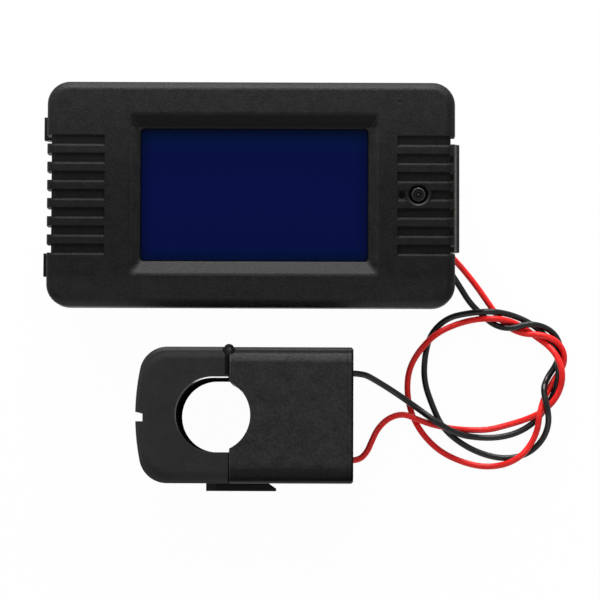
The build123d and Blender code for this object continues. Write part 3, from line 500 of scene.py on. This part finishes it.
terminalPlastic = mouldedPlastic("terminalPlastic", {
    "dark": (0.018, 0.13, 0.045), "light": (0.03, 0.19, 0.065), "grain": 2200, "cloud": 500, "rough": 0.42,
    "bump": 0.2, "specular": 0.4})
bobbinPlastic = mouldedPlastic("bobbinPlastic", {
    "dark": (0.55, 0.52, 0.45), "light": (0.68, 0.65, 0.57), "grain": 2000, "cloud": 300, "rough": 0.45,
    "bump": 0.2, "specular": 0.4})
chipPlastic = mouldedPlastic("chipPlastic", {
    "dark": (0.012, 0.012, 0.013), "light": (0.03, 0.03, 0.031), "grain": 3200, "cloud": 700, "rough": 0.6,
    "bump": 0.4, "specular": 0.35})
boxPlastic = mouldedPlastic("boxPlastic", {
    "dark": (0.55, 0.3, 0.02), "light": (0.68, 0.4, 0.04), "grain": 1800, "cloud": 260, "rough": 0.4,
    "bump": 0.15, "specular": 0.45})
dippedPlastic = mouldedPlastic("dippedPlastic", {
    "dark": (0.012, 0.045, 0.22), "light": (0.02, 0.07, 0.32), "grain": 900, "cloud": 300, "rough": 0.28,
    "bump": 0.3, "specular": 0.5})
sleevePlastic = mouldedPlastic("sleevePlastic", {
    "dark": (0.01, 0.01, 0.014), "light": (0.022, 0.022, 0.03), "grain": 800, "cloud": 200, "rough": 0.25,
    "bump": 0.1, "specular": 0.5})
print("moulded plastics made")

# unlit display under its film: colours from the lower edge to the upper one, and the painted shade of the
# frame
film = {"rise": (-0.0146, 0.0146),
        "colours": [(0.0, (0.0008, 0.006, 0.039)), (0.12, (0.0015, 0.0043, 0.047)),
                    (0.8, (0.0015, 0.0043, 0.049)), (1.0, (0.0015, 0.0108, 0.064))],
        "corners": {"half": (0.0238, 0.0134), "span": (0.0009, 0.00115, 1.0, 0.06)},
        "frame": {"half": (0.0222, 0.0118), "span": (0.0, 0.0028, 1.0, 0.64)},
        "upper": (0.0130, 0.0146, 1.0, 0.45)}


def makeDisplayFilm():
    # matt blue with round corners, with painted shade of the frame, deepest at the top
    material, tree, shader, coords = startMaterial("displayFilm")
    y = splitPlace(tree, coords)[1]
    colour = addRamp(tree, addRange(tree, y, *film["rise"]), film["colours"])
    inside = addRange(tree, y, *film["upper"])
    for edge in (film["corners"], film["frame"]):
        reach = distanceOutside(tree, coords, window["centre"], edge["half"])
        inside = multiply(tree, inside, addRange(tree, reach, *edge["span"]))
    tree.links.new(scaleColour(tree, colour, inside), shader.inputs["Base Color"])
    addBump(tree, shader, addNoise(tree, coords, 900, 2, 0.5), 0.05, 0.00002)
    setInputs(shader, {"Roughness": 0.3, "Specular IOR Level": 0.02})
    return material


def makeDisplayGlass():
    material, tree, shader, coords = startMaterial("displayGlass")
    streaks = addNoise(tree, coords, 300, 3, 0.5)
    paint(tree, shader, streaks, [(0.3, (0.002, 0.006, 0.05)), (0.7, (0.003, 0.009, 0.07))])
    setInputs(shader, {"Roughness": 0.08, "Coat Weight": 0.4})
    return material


def makeLightGuide():
    material, tree, shader, coords = startMaterial("lightGuide")
    haze = addNoise(tree, coords, 160, 3, 0.5)
    paint(tree, shader, haze, [(0.3, (0.74, 0.76, 0.77)), (0.7, (0.82, 0.83, 0.83))])
    setInputs(shader, {"Roughness": 0.25, "Subsurface Weight": 0.2,
                       "Subsurface Radius": (0.001, 0.001, 0.001)})
    return material


def makeBoardMaterial():
    # green solder resist over glass cloth, with copper tracks showing through it a little lighter
    material, tree, shader, coords = startMaterial("boardResist")
    weave = addWave(tree, coords, "X", 700, 1.5)
    tracks = addNode(tree, "ShaderNodeTexBrick", {
        "Scale": 160, "Mortar Size": 0.06, "Color1": (0.012, 0.085, 0.03, 1),
        "Color2": (0.010, 0.070, 0.026, 1), "Mortar": (0.028, 0.15, 0.055, 1)}, coords)
    tree.links.new(tracks.outputs["Color"], shader.inputs["Base Color"])
    low = makeBump(tree, tracks.outputs["Fac"], 0.3, 0.00005)
    addBump(tree, shader, weave, 0.1, 0.00002, low)
    setInputs(shader, {"Roughness": 0.3, "Coat Weight": 0.3})
    return material


def drawnLines(tree, coords, stretch, scale, detail):
    stretched = addNode(tree, "ShaderNodeMapping", {"Scale": stretch}, coords).outputs["Vector"]
    return addNoise(tree, stretched, scale, detail, 0.5)


def platedMetal(name, look):
    # fine drawn lines and spots where the plating is duller
    material, tree, shader, coords = startMaterial(name)
    lines = drawnLines(tree, coords, look["stretch"], look["scale"], 5)
    spots = addNoise(tree, coords, 700, 3, 0.6)
    paint(tree, shader, spots, [(0.35, look["dark"]), (0.65, look["light"])])
    varyRoughness(tree, shader, spots, look["rough"] - 0.08, look["rough"] + 0.1)
    addBump(tree, shader, lines, look["bump"], 0.00003)
    setInputs(shader, {"Metallic": 1})
    return material


tinned = platedMetal("tinnedMetal", {
    "dark": (0.5, 0.5, 0.48), "light": (0.68, 0.68, 0.66), "stretch": (1, 1, 4), "scale": 900,
    "rough": 0.36, "bump": 0.2})
zincSteel = platedMetal("zincSteel", {
    "dark": (0.45, 0.46, 0.48), "light": (0.62, 0.63, 0.66), "stretch": (1, 1, 0.2), "scale": 2500,
    "rough": 0.3, "bump": 0.25})
darkSteel = platedMetal("darkSteel", {
    "dark": (0.03, 0.03, 0.032), "light": (0.08, 0.08, 0.085), "stretch": (1, 1, 0.3), "scale": 2500,
    "rough": 0.45, "bump": 0.2})
bareCopper = platedMetal("bareCopper", {
    "dark": (0.5, 0.2, 0.1), "light": (0.75, 0.34, 0.19), "stretch": (0.2, 1, 1), "scale": 3000,
    "rough": 0.3, "bump": 0.3})
print("metals made")


def makeWindingMaterial():
    # turns of enamelled wire lie side by side across the yoke
    material, tree, shader, coords = startMaterial("enamelledWire")
    turns = addWave(tree, coords, "Y", 1000, 0.6)
    paint(tree, shader, turns, [(0.1, (0.12, 0.03, 0.012)), (0.8, (0.5, 0.17, 0.07))])
    addBump(tree, shader, turns, 0.8, 0.0001)
    setInputs(shader, {"Metallic": 0.7, "Roughness": 0.3, "Coat Weight": 0.5})
    return material


def makeFerrite():
    # sintered body with grinding lines across the pole faces
    material, tree, shader, coords = startMaterial("ferriteCore")
    lines = drawnLines(tree, coords, (1, 8, 0.5), 900, 2)
    pores = addNoise(tree, coords, 1500, 5, 0.7)
    paint(tree, shader, pores, [(0.35, (0.022, 0.022, 0.025)), (0.7, (0.06, 0.06, 0.066))])
    addBump(tree, shader, lines, 0.35, 0.00004)
    setInputs(shader, {"Roughness": 0.38, "Metallic": 0.3})
    return material


def makeTransformerMaterial():
    # turns of yellow tape with brown edges
    material, tree, shader, coords = startMaterial("tapedCoil")
    wrap = addWave(tree, coords, "Z", 220, 0.8)
    paint(tree, shader, wrap, [(0.05, (0.3, 0.18, 0.02)), (0.25, (0.62, 0.42, 0.05)),
                               (0.9, (0.7, 0.5, 0.08))])
    addBump(tree, shader, wrap, 0.3, 0.0001)
    setInputs(shader, {"Roughness": 0.32})
    return material


# finish of each piece that comes from the CAD model
finishes = {
    "front_cover": housing, "rear_case": housing, "panel_clip": clipPlastic, "button_cap": buttonPlastic,
    "lcd_glass": makeDisplayGlass(), "lcd_polariser": makeDisplayFilm(), "lcd_backlight": makeLightGuide(),
    "lcd_pins": tinned, "main_board": makeBoardMaterial(), "board_screws": zincSteel,
    "tact_switch": chipPlastic, "switch_plunger": chipPlastic, "transformer": makeTransformerMaterial(),
    "electrolytic_capacitors": sleevePlastic, "film_capacitor": boxPlastic, "varistor": dippedPlastic,
    "metering_chip": chipPlastic, "controller_chip": chipPlastic, "power_chip": chipPlastic,
    "terminal_block": terminalPlastic, "terminal_contacts": tinned, "lead_wire_ends": bareCopper,
    "sensor_shell": sensorPlastic, "sensor_end_cover": sensorPlastic, "jaw_shell": jawPlastic,
    "latch_arm": latchPlastic, "hinge_pins": darkSteel, "core_fixed": makeFerrite(),
    "core_jaw": makeFerrite(), "core_spring": zincSteel, "bobbin": bobbinPlastic,
    "winding": makeWindingMaterial(), "lead_board": makeBoardMaterial(),
}
for way in range(1, 5):
    finishes["terminal_screw_%d" % way] = zincSteel
    finishes["terminal_clamp_%d" % way] = tinned
for name, node in nodes.items():
    if name in finishes:
        node.data.materials.clear()
        node.data.materials.append(finishes[name])
print("finishes given")


# how a top face, a point on a ring and a smooth edge are told
turned = {"upright": 0.9, "nearly": 0.00001, "smooth": 40}


def selectEdges(piece, test):
    mesh = bmesh.from_edit_mesh(piece.data)
    for face in mesh.faces:
        face.select = False
    for edge in mesh.edges:
        edge.select = test(edge)
    mesh.select_flush_mode()
    bmesh.update_edit_mesh(piece.data)


def startRound(name, place, low, high, radius, sides):
    # an upright disc in edit mode with its top face selected
    deselectAll()
    bpy.ops.mesh.primitive_cylinder_add(vertices=sides, radius=radius, depth=high - low,
                                        location=(*place, (low + high) / 2))
    piece = bpy.context.object
    piece.name = name
    bpy.ops.object.transform_apply(location=True, rotation=True, scale=True)
    bpy.ops.object.mode_set(mode="EDIT")
    bpy.ops.mesh.select_mode(type="FACE")
    mesh = bmesh.from_edit_mesh(piece.data)
    for face in mesh.faces:
        face.select = face.normal.z > turned["upright"]
    mesh.select_flush_mode()
    bmesh.update_edit_mesh(piece.data)
    return piece


def stepIn(width, drop):
    # the selected top face gets a band round it, and its middle goes up or down
    bpy.ops.mesh.inset(thickness=width)
    bpy.ops.transform.translate(value=(0, 0, drop))


def onRing(edge, radius, height, centre):
    for point in edge.verts:
        reach = math.hypot(point.co.x - centre[0], point.co.y - centre[1])
        if abs(reach - radius) >= turned["nearly"] or abs(point.co.z - height) >= turned["nearly"]:
            return False
    return True


def finishRound(piece, form, height, segments, material):
    # the outer edge of the top is rounded
    bpy.ops.mesh.select_mode(type="EDGE")
    selectEdges(piece, lambda edge: onRing(edge, form["radius"], height, form["place"]))
    bpy.ops.mesh.bevel(offset=form["round"], segments=segments, affect="EDGES")
    bpy.ops.object.mode_set(mode="OBJECT")
    bpy.ops.object.shade_smooth_by_angle(angle=math.radians(turned["smooth"]))
    piece.data.materials.append(material)


def makeButton():
    # collar under the plate, round cap with a raised rim, a dished middle and a small point
    low, high, wide = button["collar"]
    piece = startRound("buttonCap", button["place"], low, high, wide, button["sides"])
    bpy.ops.mesh.inset(thickness=wide - button["radius"])
    bpy.ops.mesh.extrude_region_move(TRANSFORM_OT_translate={"value": (0, 0, button["top"] - high)})
    for width, drop in button["steps"]:
        stepIn(width, drop)
    finishRound(piece, button, button["top"], 3, buttonPlastic)
    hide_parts("button_cap")
    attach(piece, "button")


def makeOpening():
    # the rim of the small opening stands a little proud of the groove's floor
    low, rise = opening["floor"], opening["rise"]
    top = low + rise
    piece = startRound("openingRim", opening["place"], low - opening["under"], top, opening["radius"],
                       opening["sides"])
    stepIn(opening["wall"] / 2, 0.0)
    stepIn(opening["wall"] / 2, -rise + opening["step"])
    finishRound(piece, opening, top, 2, housing)
    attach(piece, "meter")


makeButton()
makeOpening()
print("button and opening made")

# pale floor that shows white to the camera and keeps a faint shadow
floorLook = {"size": 6.0, "height": -0.0001, "colour": (0.95, 0.95, 0.95), "rough": 0.9, "white": 0.975}


def seenDirectly(tree):
    # one for a ray from the camera, in a reflection or through glass, and none for the light on the pieces
    rays = tree.nodes.new("ShaderNodeLightPath").outputs
    other = addMath(tree, "MAXIMUM", rays["Is Glossy Ray"], rays["Is Transmission Ray"])
    return addMath(tree, "MAXIMUM", rays["Is Camera Ray"], other)


def makeFloor():
    deselectAll()
    bpy.ops.mesh.primitive_plane_add(size=floorLook["size"], location=(0, 0, floorLook["height"]))
    floor = bpy.context.object
    floor.name = "floor"
    material, tree, shader = startMaterial("floorPaper")[:3]
    setInputs(shader, {"Base Color": (*floorLook["colour"], 1), "Roughness": floorLook["rough"],
                       "Specular IOR Level": 0.0})
    white = addNode(tree, "ShaderNodeEmission", {"Strength": 1.0})
    mix = tree.nodes.new("ShaderNodeMixShader")
    tree.links.new(multiply(tree, seenDirectly(tree), floorLook["white"]), mix.inputs["Fac"])
    tree.links.new(shader.outputs["BSDF"], mix.inputs[1])
    tree.links.new(white.outputs["Emission"], mix.inputs[2])
    tree.links.new(mix.outputs["Shader"], tree.nodes["Material Output"].inputs["Surface"])
    floor.data.materials.append(material)


makeFloor()

# soft light all round, and one wide low lamp beyond the top edge that draws the lit bevels
worldLook = {"light": 0.25, "seen": 1.0}
lamps = {
    "backLamp": {"place": (0.0, 0.6, 0.19), "aim": (0.0, -0.02, 0.02), "size": (0.6, 0.2), "watts": 8.2},
    "highLamp": {"place": (0.0, 0.36, 0.55), "aim": (0.0, -0.02, 0.02), "size": (0.3, 0.3), "watts": 0.9},
    "frontLamp": {"place": (0.1, -0.7, 0.36), "aim": (0.0, -0.02, 0.02), "size": (0.6, 0.4), "watts": 1.3},
    "leftLamp": {"place": (-0.6, 0.1, 0.5), "aim": (0.0, -0.02, 0.02), "size": (0.5, 0.5), "watts": 1.2},
}


def makeLight():
    world = bpy.data.worlds.new("studio")
    scene.world = world
    world.use_nodes = True
    tree = world.node_tree
    background = tree.nodes["Background"]
    background.inputs["Color"].default_value = (1, 1, 1, 1)
    level = addRange(tree, seenDirectly(tree), 0.0, 1.0, worldLook["light"], worldLook["seen"])
    tree.links.new(level, background.inputs["Strength"])
    for name, lamp in lamps.items():
        bpy.ops.object.light_add(type="AREA", location=lamp["place"])
        light = bpy.context.object
        light.name = name
        light.data.shape = "RECTANGLE"
        light.data.size, light.data.size_y = lamp["size"]
        light.data.energy = lamp["watts"]
        way = Vector(lamp["aim"]) - Vector(lamp["place"])
        light.rotation_euler = way.to_track_quat("-Z", "Y").to_euler()


makeLight()
print("floor and light made")
